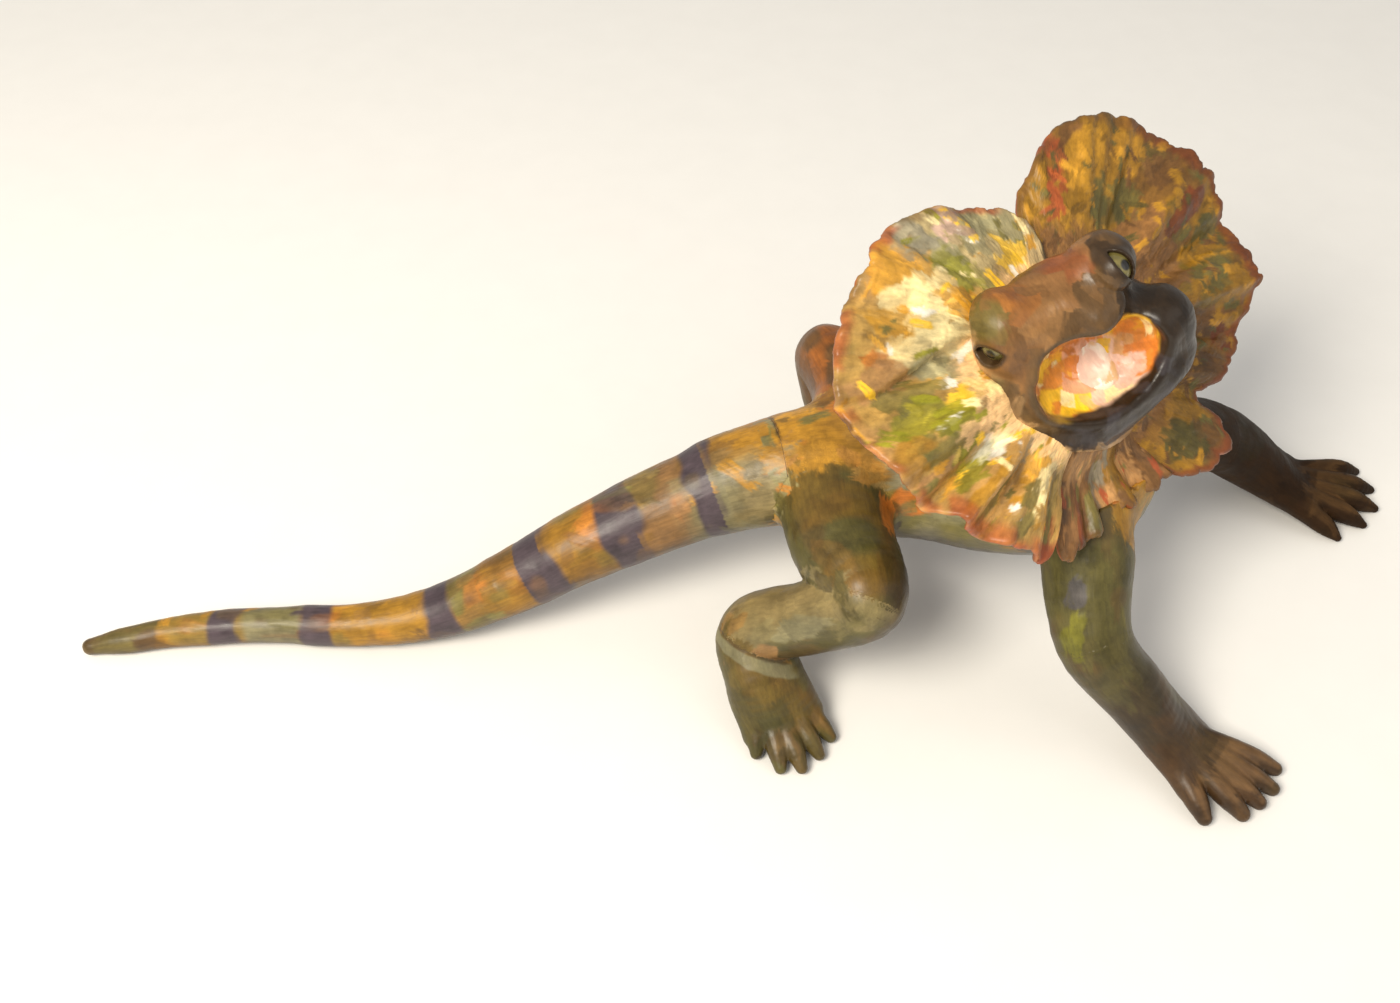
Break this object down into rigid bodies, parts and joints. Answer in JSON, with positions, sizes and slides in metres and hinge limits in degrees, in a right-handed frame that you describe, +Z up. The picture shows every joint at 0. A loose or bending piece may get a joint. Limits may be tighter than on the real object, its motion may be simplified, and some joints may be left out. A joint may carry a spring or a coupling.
{
  "type": "carved wooden lizard figure",
  "caption": "Carved and painted wooden frilled lizard on four bent legs, open mouth, wide fluted neck frill, long banded plug-in tail.",
  "frame": {"origin": "middle of the bounding box's bottom face, on the surface that the hands and feet stand on", "axes": "+X from the tail tip towards the front hands, +Z up"},
  "size_m": [0.499, 0.1798, 0.178],
  "materials": {
    "body_paint": "carved copal wood, ochre and grey-green acrylic brushwork under gloss varnish",
    "tail_paint": "carved copal wood, ochre and olive acrylic with dark bands under gloss varnish",
    "limb_paint": "carved copal wood, olive-brown acrylic brushwork under gloss varnish",
    "head_paint": "carved copal wood, tan and purple-brown acrylic under gloss varnish",
    "frill_paint": "thin carved wood, thick dabbed acrylic in tan, yellow, olive and rust under gloss varnish",
    "tongue_paint": "pale pink acrylic, glossy",
    "eye_paint": "yellow-green acrylic with a black pupil, glossy",
    "dowel_wood": "bare hardwood dowel",
    "brad_steel": "plain wire brad"
  },
  "bodies": {
    "root": {"torso": "body_paint", "neck_peg": "dowel_wood", "head": "head_paint", "tongue": "tongue_paint", "eye_right": "eye_paint", "eye_left": "eye_paint", "frill_right": "frill_paint", "frill_left": "frill_paint", "frill_throat": "frill_paint", "frill_brad_1": "brad_steel", "frill_brad_2": "brad_steel", "frill_brad_3": "brad_steel", "frill_brad_4": "brad_steel", "frill_brad_5": "brad_steel", "frill_brad_6": "brad_steel", "upper_arm_right": "limb_paint", "forearm_right": "limb_paint", "upper_arm_left": "limb_paint", "forearm_left": "limb_paint", "thigh_right": "limb_paint", "shank_right": "limb_paint", "foot_right": "limb_paint", "thigh_left": "limb_paint", "shank_left": "limb_paint", "foot_left": "limb_paint", "shoulder_peg_right": "dowel_wood", "elbow_peg_right": "dowel_wood", "shoulder_peg_left": "dowel_wood", "elbow_peg_left": "dowel_wood", "hip_peg_right": "dowel_wood", "knee_peg_right": "dowel_wood", "ankle_peg_right": "dowel_wood", "hip_peg_left": "dowel_wood", "knee_peg_left": "dowel_wood", "ankle_peg_left": "dowel_wood"},
    "tail": {"tail": "tail_paint", "tail_peg": "dowel_wood"}
  },
  "joints": [
    {"name": "tail_pull", "type": "slide", "parent": "root", "child": "tail", "axis": [-0.98, -0.199, 0], "range_m": [0, 0.03]}
  ]
}
